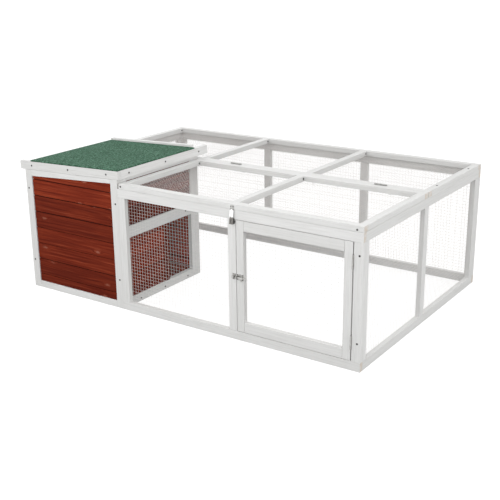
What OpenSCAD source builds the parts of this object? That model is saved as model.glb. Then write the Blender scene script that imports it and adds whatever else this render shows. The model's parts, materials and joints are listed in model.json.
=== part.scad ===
// Outdoor run for a small pet, with a boarded hutch in its front left corner.
// Flat panels of battens and wire net stand on the ground and carry two roof panels.
// The front roof panel, the door and the hutch's felted roof open on hinges.
// Lengths are measured from the hutch's front left corner: X along the front, Y to the
// back, Z up. origin_x and origin_y then move everything to the middle of the base.

/* [Run] */
// Length of the run along its front
run_l = 1500; // [1350:10:1700]
// Depth of the run from front to back
run_w = 1000; // [900:10:1150]
// Height of the wall panels
wall_h = 476.5; // [450:0.5:486]
// Width of the battens in the wall panels
batten_w = 33; // [28:1:38]
// Thickness of the battens in the wall panels
batten_t = 18; // [15:1:22]
// Width of the front post in the right side
side_post_w = 22; // [18:1:33]
// Distance from the front to the middle post of the right side
side_post_y = 467; // [430:1:500]
// Number of windows in the back panel and in the rear roof panel
back_windows = 3; // [2:1:4]

/* [Run roof] */
// Width of the battens in the roof panels
rail_w = 28; // [25:1:34]
// Thickness of the battens in the roof panels
rail_t = 20; // [18:1:24]
// Distance from the front to the joint between the two roof panels
joint_y = 489; // [488:1:500]
// Gap between the hutch's wall and the hinged roof panel
slot_w = 8; // [8:0.5:12]
// Gap under the roofs that lift
seam = 0.4; // [0.3:0.1:1]

/* [Wire net] */
// Distance between the wires of the net, drawn coarse here
net_pitch = 95; // [90:5:140]
// Width of a wire
wire_w = 3; // [2:0.5:4]
// Thickness of a wire
wire_t = 0.9; // [0.6:0.1:1.2]
// Width of the net's edge that laps a wall batten
net_lap = 14; // [10:1:15]

/* [Door] */
// Width of the door's opening
door_way = 452; // [400:1:480]
// Width of the gap on the door's free side
door_gap_side = 1.8; // [1:0.1:3]
// Width of the gaps above and below the door
door_gap_z = 1.5; // [1:0.1:3]
// Width of the door's stiles
door_stile = 30; // [29.5:0.5:36]
// Height of the door's bottom rail
door_low_rail = 36.5; // [30:0.5:45]
// Height of the door's top rail
door_top_rail = 36.5; // [30:0.5:42]
// Distance from the door's ends to the middle of its hinges
door_hinge_inset = 66; // [50:1:100]

/* [Hutch] */
// Width of the hutch along the front
hutch_w = 484; // [440:1:520]
// Rise of the hutch's left wall above the run's wall panels
hutch_rise = 14.5; // [12.5:0.5:33]
// Slope of the hutch's roof in degrees
roof_slope = 2.1; // [1.8:0.1:3]
// Height of the bottom rail below the boards
sill_h = 27; // [22:1:36]
// Height of the top rail at its low end
head_low = 25; // [18:1:32]
// Height of the top rail at its high end
head_high = 15.6; // [12:0.2:24]
// Width of a board
board_w = 66; // [50:1:90]
// Height of the first groove between boards
first_groove = 58.5; // [50:0.5:66]
// Thickness of the boards
board_t = 10; // [8:0.5:12]
// Depth of the boards behind the face of the battens
board_recess = 4; // [2:0.5:5]
// Height of the bearers below the floor
bearer_h = 18; // [12:1:22]
// Thickness of the floor's boards
floor_t = 10; // [8:0.5:14]

/* [Doorway between hutch and run] */
// Distance from the front to the doorway
doorway_y = 285; // [260:1:320]
// Width of the board that edges the doorway
jamb_w = 23; // [18:1:30]
// Height of the rail under the doorway
doorway_sill = 33; // [28:1:40]
// Height of the rail over the doorway above the ground
lintel_z = 273; // [240:1:290]
// Height of the rail over the doorway
lintel_h = 45; // [33:1:60]
// Height of the top rail of the wall with the doorway
doorway_head = 12.5; // [10:0.5:20]

/* [Hutch roof] */
// Height of the battens set on edge round the roof
fascia_h = 33; // [30:1:38]
// Thickness of the battens set on edge round the roof
fascia_t = 20; // [18:1:24]
// Length of the front batten past the hutch's left side
stub_l = 24; // [10:1:40]
// Reach of the roof past the hutch's right side
roof_reach = 7; // [6.5:0.1:7.2]
// Length of the right batten past the hutch's back
tail_l = 63; // [40:1:90]
// Width of the flat batten along the roof's hinged side
edge_w = 36; // [32:1:42]
// Height by which the back batten stands above the front batten
back_rise = 13; // [12:0.5:16]
// Distance of the roof's back batten ahead of the inside of the back wall
back_shift = 5; // [0:0.5:8]
// Width of the flat battens under the sheet
rib_w = 33; // [28:1:40]
// Thickness of the flat battens under the sheet
rib_t = 20; // [16:1:24]
// Distance from the last of these battens to the right batten
rib_gap = 9; // [0.5:0.5:20]
// Distance from the hutch's left side to the sheet
sheet_x = 37; // [30:1:44]
// Thickness of the roof's board
sheet_t = 3.5; // [3:0.5:5]
// Thickness of the felt
felt_t = 2; // [1:0.5:3]
// Thickness of the felt that is turned down over the sheet's edges
felt_wrap = 1.5; // [1:0.25:2]

/* [Butt hinges] */
// Length of a hinge
hinge_l = 50; // [40:1:60]
// Depth of a hinge's leaf
leaf_w = 17; // [14:0.5:18]
// Thickness of a hinge's leaf
leaf_t = 1.2; // [1:0.1:1.4]
// Gap between the two leaves in the joint of the roof panels
leaf_gap = 0.4; // [0.3:0.1:0.8]
// Gap between the two leaves beside the door
door_leaf_gap = 1.6; // [1:0.1:2]
// Radius of a hinge's barrel
barrel_r = 2.5; // [2.4:0.1:3]
// Radius of the bore in a hinge's barrel
hinge_bore = 1.25; // [1:0.05:1.5]
// Radial clearance of a pin in its bore
pin_clear = 0.05; // [0.03:0.01:0.08]
// Gap between barrels and beside wood
barrel_gap = 0.3; // [0.2:0.05:0.5]
// Distance from the ends of the hinged roof panel to the middle of its hinges
roof_hinge_inset = 186; // [120:1:220]
// Distance from the hutch's front and back to the middle of its roof's hinges
hutch_hinge_inset = 120; // [90:1:160]

/* [Hasp] */
// Radius of the hasp's barrel
hasp_barrel_r = 2.2; // [2.1:0.05:2.3]
// Radius of the bore in the hasp's barrel
hasp_bore = 1; // [0.8:0.05:1.1]
// Height of the hasp's axis above the roof panel's lower edge
hasp_rise = 0.6; // [0.4:0.1:1]
// Height of the hasp's leaf above the axis
hasp_leaf_h = 15; // [12:0.5:16]
// Distance of the hasp's middle right of the middle post's middle
hasp_shift = 4; // [0:0.5:4.5]
// Width of the hasp's strap
strap_w = 15; // [12:0.5:18]
// Length of the strap from its hinge
strap_l = 51; // [49:1:60]
// Thickness of the strap
strap_t = 1.5; // [1.2:0.1:1.8]
// Angle at which the strap leans on the staple's head
strap_lean = 7.5; // [7.3:0.1:10]
// Width of the slot in the strap
slot_gap = 5.6; // [5.2:0.1:6.5]
// Length of the slot in the strap
slot_l = 13; // [12.5:0.5:16]
// Distance from the strap's hinge to the staple
staple_drop = 41; // [40:1:42]
// Radius of the staple's plate
staple_plate_r = 12; // [11:0.5:12.4]
// Radius of the staple's neck
neck_r = 2; // [1.6:0.1:2.1]
// Length of the staple's head
head_l = 11; // [9:0.5:11.5]
// Width of the staple's head
head_w = 4.4; // [4.2:0.1:4.6]
// Thickness of the staple's head
head_t = 1.8; // [1.4:0.1:2]
// Distance from the post to the back of the staple's head
head_out = 4.4; // [4.2:0.1:4.5]

/* [Bolt] */
// Height of the bolt above the ground
bolt_z = 238; // [200:1:280]
// Radius of the bolt's rod
bolt_r = 2.75; // [2.5:0.05:3]
// Distance from the door's face to the rod's axis
bolt_out = 5; // [4.6:0.1:6]
// Travel of the bolt
bolt_travel = 14; // [11:0.5:14]
// Length of the bolt's plate
bolt_plate_l = 28; // [28:0.25:28.5]
// Height of the bolt's plate
bolt_plate_h = 22; // [18:0.5:26]
// Thickness of the metal plates
plate_t = 1.2; // [1:0.1:1.4]
// Length of each block that guides the rod
guide_l = 4; // [3:0.25:4]
// Height of the guides and of the keeper
guide_h = 9; // [8.4:0.1:10]
// Radius of the bolt's knob
knob_r = 2.5; // [2:0.1:2.5]
// Drop of the knob below the rod's axis
knob_l = 12.5; // [10:0.5:15]
// Length of the keeper
keeper_l = 7; // [5:0.5:8]
// Gap between the rod and the keeper
keeper_gap = 0.5; // [0.4:0.1:0.8]

/* [Screws] */
// Hairline under a screw's head
screw_seat = 0.05; // [0.02:0.01:0.1]
// Distance from a post's outer edge to the screws in it
screw_inset = 13; // [9:0.5:16]
// Height of the lower screws in the hutch's front posts
screw_low = 116; // [80:1:140]
// Height of the upper screws in the hutch's front posts
screw_high = 416; // [390:1:430]
// Drop from those heights to the screws in the run's right post
screw_drop = 17; // [-10:1:20]
// Height of the screws in the rail under the doorway
sill_screw_z = 12; // [8:1:20]
// Distance from the front to the middle one of the screws in this rail
sill_screw_y = 252; // [230:1:270]
// Distance between the screws in this rail
sill_screw_step = 149; // [120:1:160]
// Distance from the front to the screw over the doorway
lintel_screw_y = 400; // [300:1:420]
// Distance from the roof's front batten's end to its first screw
roof_screw_x = 63; // [40:1:80]
// Distance between the screws in the roof's front batten
roof_screw_step_x = 197; // [160:1:200]
// Distance from the front to the first screw in the roof's right batten
roof_screw_y = 63; // [40:1:80]
// Distance between the screws in the roof's right batten
roof_screw_step_y = 214.5; // [180:0.5:220]
// Distance from the ends of the rear roof panel's right batten to the screws in its top
rear_screw = 103; // [60:1:120]
// Distance from the front screws in the hinged roof panel to its ends
lid_screw = 9; // [6:0.5:12]
// Distance from a roof panel's ribs' ends to the screws in their sides
rib_screw = 5; // [4:0.5:12]
// Radius of a screw's head
screw_r = 3.6; // [2.5:0.1:4]
// Height of a screw's head
screw_h = 1.1; // [0.8:0.1:1.4]
// Radius of a small screw's head on the fittings
small_r = 1.9; // [1.5:0.1:2]
// Height of a small screw's head
small_h = 0.9; // [0.6:0.1:1]

/* [Hidden] */
$fn = 48;

// Hairline left between two pieces of wood in one panel and between crossing wires
hair = 0.2;
// Overlap that joins two shapes of one piece, and overshoot of a cut
root = 1;
cut = 1;
net_t = 2 * wire_t + hair;
white = [0.87, 0.87, 0.85];
red = [0.49, 0.18, 0.13];
green = [0.32, 0.47, 0.38];
metal = [0.62, 0.63, 0.64];
dark = [0.3, 0.3, 0.31];

// Walls of the hutch: its depth ends just short of the joint between the roof panels
hutch_low = wall_h + hutch_rise;
leaf_joint = 2 * leaf_t + leaf_gap;
hutch_d = joint_y - leaf_joint / 2 + hair;
doorway_end = hutch_d - batten_t - batten_w;

// Height of the hutch's walls at a distance x from its left side
function wall_top(x) = hutch_low + x * tan(roof_slope);
// Lower edge of the sloping top rail
function head_z(x) = wall_top(x) - head_low
    - (head_high - head_low) * (x - batten_w) / (hutch_w - 2 * batten_w);

// Door and its opening
door_end = run_l - batten_w;
door_start = door_end - door_way;
door_joint = 2 * leaf_t + door_leaf_gap;
door_w = door_way - door_gap_side - door_joint;
door_h = wall_h - 2 * batten_w - 2 * door_gap_z;
door_z = batten_w + door_gap_z;
door_x = door_start + door_gap_side;

// Hinged roof panel, which lies in front of the roof joint. The roof nets lap their rails
// up to net_clear from the inside of the walls.
net_clear = 1;
lid_x = hutch_w + slot_w;
lid_l = run_l - lid_x;
lid_d = joint_y - leaf_joint / 2;
lid_z = wall_h + seam;
roof_lap = rail_w - batten_t - net_clear;
rear_y = joint_y + leaf_joint / 2;

// Hinge axes, and the length of a pin past its barrel
relief = barrel_r + barrel_gap;
pin_over = 0.8;
run_axis_z = lid_z + rail_t + relief;
door_axis_x = door_end - door_joint / 2;
door_axis_y = -relief;
hutch_axis_x = -relief;
hutch_axis_z = hutch_low + seam / 2;

// Hasp and staple, on the middle post of the front panel
post_mid = door_start - batten_w / 2;
hasp_x = post_mid + hasp_shift;
hasp_axis_y = -hasp_barrel_r - barrel_gap;
hasp_axis_z = lid_z + hasp_rise;
staple_z = hasp_axis_z - staple_drop;
neck_start = 0.3;

// Bolt, on the door's free stile, and its keeper on the post
bolt_inset = 1;
keeper_inset = 2;
knob_gap = 0.5;
keeper_base = 4;
keeper_rise = 0.5;
bolt_x = door_x + bolt_inset;
guide_end = bolt_x + bolt_plate_l;
knob_x = guide_end - guide_l - knob_r - knob_gap;
rod_tip = door_start + bolt_inset;
rod_l = guide_end - rod_tip + bolt_travel;
keeper_x = door_start - keeper_l - keeper_base - keeper_inset;

// Margins of the small screws in the bolt's plates and in the staple's plate, their places
// on the hasp's leaf, and the shift of the last screw in the front of the hinged roof panel
plate_margin = 1;
guide_margin = 1.5;
staple_margin = 0.3;
leaf_screw = [4.5, 9.75];
lid_screw_shift = [15, 3.5];

// Roof of the hutch: inner face of its right batten, front face of its back batten
roof_inner = hutch_w + roof_reach - fascia_t;
roof_back_y = hutch_d - batten_t - back_shift;

// Foremost and leftmost reach, for the middle of the base
front_reach = -hasp_axis_y + strap_l * sin(strap_lean) + strap_t / 2 * cos(strap_lean);
left_reach = stub_l * cos(roof_slope) + fascia_h * sin(roof_slope);
origin_x = (run_l - left_reach) / 2;
origin_y = (run_w - front_reach) / 2;

// Moves a piece from the corner of the hutch to the middle of the base
module site() {
    translate([-origin_x, -origin_y, 0]) children();
}

// Frame of battens: rails along X at the bottom and top, and between them posts, each
// given by its place and its width
module ladder(l, h, t, rail, posts) {
    cube([l, t, rail]);
    translate([0, 0, h - rail]) cube([l, t, rail]);
    for (p = posts) {
        translate([p[0], 0, rail + hair]) cube([p[1], t, h - 2 * rail - 2 * hair]);
    }
}

// Posts with n even windows between them
function even_posts(l, post, n) = [for (i = [0 : n]) [i * (l - post) / n, post]];

// Sheet of welded net along X, its face towards -Y: upright wires in front, level ones behind
module net(l, h) {
    nx = max(1, round(l / net_pitch));
    nz = max(1, round(h / net_pitch));
    for (i = [0 : nx]) {
        translate([i * (l - wire_w) / nx, 0, 0]) cube([wire_w, wire_t, h]);
    }
    for (j = [0 : nz]) {
        translate([0, wire_t + hair, j * (h - wire_w) / nz]) cube([l, wire_t, wire_w]);
    }
}

// Turns a piece that lies along X to lie along Y, its front face towards +X
module along_side(x, y) {
    translate([x, y, 0]) rotate([0, 0, 90]) children();
}

// Lays a standing frame flat, its top end towards -Y
module lay_flat(x, y_end, z) {
    translate([x, y_end, z]) rotate([90, 0, 0]) children();
}

// Upright of the hutch whose top follows the roof
module upright(x0, x1, y0, y1, z0) {
    translate([0, y1, 0]) rotate([90, 0, 0]) linear_extrude(y1 - y0)
        polygon([[x0, z0], [x1, z0], [x1, wall_top(x1)], [x0, wall_top(x0)]]);
}

// Cuts the flat shape of a boarded field into boards and gives them their thickness
module boards(x_end, z_end) {
    n = ceil((z_end - first_groove) / board_w);
    rotate([90, 0, 0]) linear_extrude(board_t) for (i = [0 : n]) {
        low = i == 0 ? 0 : first_groove + (i - 1) * board_w;
        high = first_groove + i * board_w - hair;
        intersection() {
            children();
            translate([0, low]) square([x_end, high - low]);
        }
    }
}

// Wall of the hutch that runs along X, seen from the front
module gable_frame() {
    upright(0, batten_w, 0, batten_t, 0);
    upright(hutch_w - batten_w, hutch_w, 0, batten_t, 0);
    in0 = batten_w + hair;
    in1 = hutch_w - batten_w - hair;
    translate([in0, 0, 0]) cube([in1 - in0, batten_t, sill_h]);
    translate([0, batten_t, 0]) rotate([90, 0, 0]) linear_extrude(batten_t)
        polygon([[in0, head_z(in0)], [in1, head_z(in1)], [in1, wall_top(in1)], [in0, wall_top(in0)]]);
}

module gable_boards() {
    in0 = batten_w + hair;
    in1 = hutch_w - batten_w - hair;
    translate([0, board_t, 0]) boards(hutch_w, wall_top(hutch_w))
        polygon([[in0, sill_h + hair], [in1, sill_h + hair],
                 [in1, head_z(in1) - hair], [in0, head_z(in0) - hair]]);
}

// Field of boards from y0 to y1 and z0 to z1 in a wall that runs along Y
module side_boards(x, y0, y1, z0, z1) {
    along_side(x + board_t, 0) translate([0, board_t, 0]) boards(hutch_d, z1)
        translate([y0, z0]) square([y1 - y0, z1 - z0]);
}

// Places a piece in the plane of the hutch's sloping roof
module on_roof() {
    translate([0, 0, hutch_low + seam]) rotate([0, -roof_slope, 0]) children();
}

// Leaf of a hinge whose axis runs along X through the origin. The leaf hangs down and
// its near face lies off from the axis. Segments of the barrel from first, two apart.
module leaf(l, width, off, first, segments, r, bore) {
    step = l / segments;
    difference() {
        union() {
            translate([-l / 2, off, -width]) cube([l, leaf_t, width - r - barrel_gap]);
            for (i = [first : 2 : segments - 1]) {
                translate([-l / 2 + i * step + barrel_gap / 2, 0, 0]) {
                    rotate([0, 90, 0]) cylinder(r = r, h = step - barrel_gap);
                    translate([0, off, -r - barrel_gap - root])
                        cube([step - barrel_gap, leaf_t, r + barrel_gap + root]);
                }
            }
        }
        translate([-l, 0, 0]) rotate([0, 90, 0]) cylinder(r = bore, h = 2 * l);
    }
}

// Pin of a hinge along X, a little longer than the barrel
module pin(l, bore) {
    translate([-l / 2 - pin_over, 0, 0]) rotate([0, 90, 0])
        cylinder(r = bore - pin_clear, h = l + 2 * pin_over);
}

// The three pairs of hinges: children stand in the hinge's own frame
module at_run_hinges() {
    for (x = [lid_x + roof_hinge_inset, run_l - roof_hinge_inset]) {
        translate([x, joint_y, run_axis_z]) children();
    }
}

module at_door_hinges() {
    for (z = [door_z + door_hinge_inset, door_z + door_h - door_hinge_inset]) {
        translate([door_axis_x, door_axis_y, z]) rotate([90, 90, 0]) children();
    }
}

module at_hutch_hinges() {
    for (y = [hutch_hinge_inset, hutch_d - hutch_hinge_inset]) {
        translate([hutch_axis_x, y, hutch_axis_z]) rotate([0, 0, -90]) children();
    }
}

// Head of a screw, drawn as a twelve-sided disc a hair above a face that looks along +Z
module screw(r, h) {
    translate([0, 0, screw_seat]) cylinder(r = r, h = h, $fn = 12);
}

// Screws on a face that looks forwards, at [x, z] places
module front_screws(places, y, r, h) {
    for (p = places) {
        translate([p[0], y, p[1]]) rotate([90, 0, 0]) screw(r, h);
    }
}

// Walls of the run
module front_panel() {
    l = run_l - hutch_w;
    site() color(white) translate([hutch_w, 0, 0])
        ladder(l, wall_h, batten_t, batten_w,
               [for (x = [0, door_start - batten_w - hutch_w, l - batten_w]) [x, batten_w]]);
}

module front_net() {
    x0 = hutch_w + batten_w - net_lap;
    x1 = door_start - batten_w + net_lap;
    site() color(metal) translate([x0, batten_t, batten_w - net_lap])
        net(x1 - x0, wall_h - 2 * (batten_w - net_lap));
}

module right_panel() {
    l = run_w - 2 * batten_t;
    site() color(white) along_side(run_l, batten_t)
        ladder(l, wall_h, batten_t, batten_w,
               [[0, side_post_w], [side_post_y - batten_t, batten_w], [l - batten_w, batten_w]]);
}

module right_net() {
    inset = batten_w - net_lap;
    y0 = batten_t + side_post_w - net_lap;
    y1 = run_w - batten_t - inset;
    site() color(metal) along_side(run_l - batten_t, y0) translate([0, 0, inset])
        net(y1 - y0, wall_h - 2 * inset);
}

module back_panel() {
    site() color(white) translate([0, run_w - batten_t, 0])
        ladder(run_l, wall_h, batten_t, batten_w, even_posts(run_l, batten_w, back_windows));
}

module back_net() {
    inset = batten_w - net_lap;
    site() color(metal) translate([inset, run_w - batten_t - net_t, inset])
        net(run_l - 2 * inset, wall_h - 2 * inset);
}

module left_panel() {
    l = run_w - batten_t - hutch_d;
    site() color(white) along_side(batten_t, hutch_d)
        ladder(l, wall_h, batten_t, batten_w, even_posts(l, batten_w, 1));
}

module left_net() {
    inset = batten_w - net_lap;
    l = run_w - batten_t - hutch_d - 2 * inset;
    site() color(metal) along_side(batten_t + net_t, hutch_d + inset) translate([0, 0, inset])
        net(l, wall_h - 2 * inset);
}

// Fixed roof panel over the back half
module rear_roof_frame() {
    site() color(white) lay_flat(0, run_w, wall_h)
        ladder(run_l, run_w - rear_y, rail_t, rail_w, even_posts(run_l, rail_w, back_windows));
}

module rear_roof_net() {
    inset = rail_w - roof_lap;
    site() color(metal) lay_flat(inset, run_w - inset, wall_h - net_t)
        net(run_l - 2 * inset, run_w - rear_y - 2 * inset);
}

// Walls of the hutch
module hutch_front_frame() {
    site() color(white) gable_frame();
}

module hutch_front_boards() {
    site() color(red) translate([0, board_recess, 0]) gable_boards();
}

module hutch_back_frame() {
    site() color(white) translate([0, hutch_d - batten_t, 0]) gable_frame();
}

module hutch_back_boards() {
    site() color(red) translate([0, hutch_d - board_recess - board_t, 0]) gable_boards();
}

module hutch_left_frame() {
    y0 = batten_t;
    y1 = hutch_d - batten_t;
    site() color(white) {
        upright(0, batten_t, y0, y0 + batten_w, 0);
        upright(0, batten_t, y1 - batten_w, y1, 0);
        in0 = y0 + batten_w + hair;
        in1 = y1 - batten_w - hair;
        translate([0, in0, 0]) cube([batten_t, in1 - in0, sill_h]);
        upright(0, batten_t, in0, in1, hutch_low - head_low);
    }
}

module hutch_left_boards() {
    site() color(red)
        side_boards(board_recess, batten_t + batten_w + hair, doorway_end - hair,
                    sill_h + hair, hutch_low - head_low - hair);
}

// Wall between the hutch and the run
module doorway_frame() {
    x0 = hutch_w - batten_t;
    y0 = batten_t;
    y1 = hutch_d - batten_t;
    in0 = y0 + batten_w + hair;
    in1 = doorway_end - hair;
    site() color(white) {
        upright(x0, hutch_w, y0, y0 + batten_w, 0);
        upright(x0, hutch_w, doorway_end, y1, 0);
        translate([x0, in0, 0]) cube([batten_t, in1 - in0, doorway_sill]);
        translate([x0, in0, lintel_z]) cube([batten_t, in1 - in0, lintel_h]);
        upright(x0, hutch_w, in0, in1, wall_top(x0) - doorway_head);
    }
}

module doorway_low_boards() {
    site() color(red)
        side_boards(hutch_w - board_recess - board_t, batten_t + batten_w + hair,
                    doorway_y - jamb_w - hair, doorway_sill + hair, lintel_z - hair);
}

module doorway_high_boards() {
    site() color(red)
        side_boards(hutch_w - board_recess - board_t, batten_t + batten_w + hair,
                    doorway_end - hair, lintel_z + lintel_h + hair,
                    wall_top(hutch_w - batten_t) - doorway_head - hair);
}

module doorway_jamb() {
    site() color(red) translate([hutch_w - batten_t, doorway_y - jamb_w, doorway_sill + hair])
        cube([batten_t, jamb_w, lintel_z - doorway_sill - 2 * hair]);
}

module floor_bearers() {
    inset = batten_t + batten_w;
    site() color(red) for (y = [inset, hutch_d - inset - batten_w]) {
        translate([batten_t + hair, y, 0])
            cube([hutch_w - 2 * batten_t - 2 * hair, batten_w, bearer_h]);
    }
}

module floor_boards() {
    depth = hutch_d - 2 * batten_t - 2 * hair;
    n = ceil(depth / board_w);
    step = depth / n;
    site() color(red) for (i = [0 : n - 1]) {
        translate([batten_t + hair, batten_t + hair + i * step, bearer_h])
            cube([hutch_w - 2 * batten_t - 2 * hair, step - hair, floor_t]);
    }
}

// Hinged roof panel over the front half
module run_roof_frame() {
    site() color(white) lay_flat(lid_x, lid_d, lid_z)
        ladder(lid_l, lid_d, rail_t, rail_w, even_posts(lid_l, rail_w, 2));
}

module run_roof_net() {
    inset = rail_w - roof_lap;
    site() color(metal) lay_flat(lid_x + inset, lid_d - inset, lid_z - net_t)
        net(lid_l - 2 * inset, lid_d - 2 * inset);
}

// Door
module door_frame() {
    site() color(white) translate([door_x, 0, door_z]) {
        for (x = [0, door_w - door_stile]) {
            translate([x, 0, 0]) cube([door_stile, batten_t, door_h]);
        }
        for (rail = [[0, door_low_rail], [door_h - door_top_rail, door_top_rail]]) {
            translate([door_stile + hair, 0, rail[0]])
                cube([door_w - 2 * door_stile - 2 * hair, batten_t, rail[1]]);
        }
    }
}

module door_net() {
    inset = door_stile - net_lap;
    low = door_low_rail - net_lap;
    site() color(metal) translate([door_x + inset, batten_t, door_z + low])
        net(door_w - 2 * inset, door_h - low - door_top_rail + net_lap);
}

// Roof of the hutch
module roof_front_batten() {
    site() color(white) on_roof() translate([-stub_l, 0, 0])
        cube([stub_l + hutch_w + roof_reach, fascia_t, fascia_h]);
}

module roof_right_batten() {
    site() color(white) on_roof() translate([hutch_w + roof_reach - fascia_t, fascia_t, 0])
        cube([fascia_t, hutch_d - fascia_t + tail_l, fascia_h]);
}

module roof_back_batten() {
    site() color(white) on_roof() translate([sheet_x, roof_back_y, back_rise])
        cube([roof_inner - sheet_x, fascia_t, fascia_h]);
}

module roof_left_batten() {
    site() color(white) on_roof() translate([0, fascia_t, 0])
        cube([edge_w, roof_back_y - fascia_t, rib_t]);
}

module roof_ribs() {
    step = (roof_inner - edge_w - rib_w - rib_gap) / 2;
    site() color(white) on_roof() for (i = [0 : 2]) {
        translate([edge_w + i * step, fascia_t, fascia_h - rib_t])
            cube([rib_w, roof_back_y - fascia_t, rib_t]);
    }
}

module roof_board() {
    site() color(red) on_roof() translate([sheet_x, felt_wrap, fascia_h])
        cube([hutch_w + roof_reach - felt_wrap - sheet_x, roof_back_y - felt_wrap, sheet_t]);
}

module roof_felt() {
    site() color(green) on_roof() difference() {
        translate([sheet_x - felt_wrap, 0, fascia_h])
            cube([hutch_w + roof_reach - sheet_x + felt_wrap, roof_back_y, sheet_t + felt_t]);
        translate([sheet_x, felt_wrap, fascia_h - cut])
            cube([hutch_w + roof_reach - felt_wrap - sheet_x, roof_back_y, sheet_t + cut]);
    }
}

// Hinges of the run's roof: the leaves lie in the joint between the two roof panels
module run_hinge_leaves() {
    site() color(metal) at_run_hinges()
        leaf(hinge_l, leaf_w, leaf_gap / 2, 0, 5, barrel_r, hinge_bore);
}

module run_hinge_flaps() {
    site() color(metal) at_run_hinges() mirror([0, 1, 0])
        leaf(hinge_l, leaf_w, leaf_gap / 2, 1, 5, barrel_r, hinge_bore);
}

module run_hinge_pins() {
    site() color(dark) at_run_hinges() pin(hinge_l, hinge_bore);
}

module door_hinge_leaves() {
    site() color(metal) at_door_hinges()
        leaf(hinge_l, leaf_w, door_leaf_gap / 2, 0, 5, barrel_r, hinge_bore);
}

module door_hinge_flaps() {
    site() color(metal) at_door_hinges() mirror([0, 1, 0])
        leaf(hinge_l, leaf_w, door_leaf_gap / 2, 1, 5, barrel_r, hinge_bore);
}

module door_hinge_pins() {
    site() color(dark) at_door_hinges() pin(hinge_l, hinge_bore);
}

// Hinges of the hutch's roof: the leaves lie flat on the outside of its left wall
module hutch_hinge_leaves() {
    site() color(metal) at_hutch_hinges()
        leaf(hinge_l, leaf_w, relief - leaf_t, 0, 5, barrel_r, hinge_bore);
}

module hutch_hinge_flaps() {
    site() color(metal) at_hutch_hinges() rotate([roof_slope, 0, 0]) mirror([0, 0, 1])
        leaf(hinge_l, leaf_w, relief - leaf_t, 1, 5, barrel_r, hinge_bore);
}

module hutch_hinge_pins() {
    site() color(dark) at_hutch_hinges() pin(hinge_l, hinge_bore);
}

// Hasp on the front edge of the run's roof
module at_hasp() {
    translate([hasp_x, hasp_axis_y, hasp_axis_z]) children();
}

module hasp_leaf() {
    site() color(metal) at_hasp() mirror([0, 0, 1])
        leaf(strap_w, hasp_leaf_h, -hasp_axis_y - leaf_t, 0, 3, hasp_barrel_r, hasp_bore);
}

module hasp_pin() {
    site() color(dark) at_hasp() pin(strap_w, hasp_bore);
}

module hasp_strap() {
    neck = strap_w / 3 - barrel_gap;
    top = hasp_barrel_r + barrel_gap;
    site() color(metal) at_hasp() rotate([-strap_lean, 0, 0]) difference() {
        union() {
            translate([-strap_w / 2, -strap_t / 2, -strap_l])
                cube([strap_w, strap_t, strap_l - top]);
            translate([-neck / 2, -strap_t / 2, -top - root])
                cube([neck, strap_t, top + root]);
            translate([-neck / 2, 0, 0]) rotate([0, 90, 0])
                cylinder(r = hasp_barrel_r, h = neck);
        }
        translate([-strap_w, 0, 0]) rotate([0, 90, 0])
            cylinder(r = hasp_bore, h = 2 * strap_w);
        translate([-slot_gap / 2, -strap_t, -staple_drop - slot_l / 2])
            cube([slot_gap, 2 * strap_t, slot_l]);
    }
}

module staple_plate() {
    site() color(dark) translate([hasp_x, 0, staple_z]) rotate([90, 0, 0]) difference() {
        cylinder(r = staple_plate_r, h = plate_t);
        translate([0, 0, -cut]) cylinder(r = neck_r + pin_clear, h = plate_t + 2 * cut);
    }
}

module turn_staple() {
    site() color(dark) translate([hasp_x, 0, staple_z]) {
        translate([0, -neck_start, 0]) rotate([90, 0, 0])
            cylinder(r = neck_r, h = head_out - neck_start + head_t / 2);
        translate([-head_w / 2, -head_out - head_t, -head_l / 2])
            cube([head_w, head_t, head_l]);
    }
}

// Bolt on the door and its keeper on the post
module bolt_plate() {
    site() color(metal) difference() {
        union() {
            translate([bolt_x, -plate_t, bolt_z - bolt_plate_h / 2])
                cube([bolt_plate_l, plate_t, bolt_plate_h]);
            for (x = [bolt_x, guide_end - guide_l]) {
                translate([x, -bolt_out - guide_h / 2, bolt_z - guide_h / 2])
                    cube([guide_l, bolt_out + guide_h / 2, guide_h]);
            }
        }
        translate([bolt_x - cut, -bolt_out, bolt_z]) rotate([0, 90, 0])
            cylinder(r = bolt_r + pin_clear, h = bolt_plate_l + 2 * cut);
    }
}

module bolt_rod() {
    site() color(metal) {
        translate([rod_tip, -bolt_out, bolt_z]) rotate([0, 90, 0]) cylinder(r = bolt_r, h = rod_l);
        translate([knob_x, -bolt_out, bolt_z - knob_l]) cylinder(r = knob_r, h = knob_l);
    }
}

module bolt_keeper() {
    in_r = bolt_r + keeper_gap;
    wall = guide_h / 2 + keeper_rise - in_r;
    site() color(metal) {
        translate([keeper_x - keeper_base, -plate_t, bolt_z - bolt_plate_h / 2])
            cube([keeper_l + 2 * keeper_base, plate_t, bolt_plate_h]);
        for (z = [-in_r - wall, in_r]) {
            translate([keeper_x, -bolt_out - in_r - wall, bolt_z + z])
                cube([keeper_l, bolt_out + in_r + wall, wall]);
        }
        translate([keeper_x, -bolt_out - in_r - wall, bolt_z - in_r - wall])
            cube([keeper_l, wall, 2 * in_r + 2 * wall]);
    }
}

// Screws with their heads towards +X
module side_screws(x, places) {
    for (p = places) {
        translate([x, p[0], p[1]]) rotate([0, 90, 0]) screw(screw_r, screw_h);
    }
}

// Places of the small screws above and below the middle of a bolt's plate
function plate_screws(x) =
    [for (z = [-1, 1]) [x, bolt_z + z * (bolt_plate_h / 2 - small_r - plate_margin)]];

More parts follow.
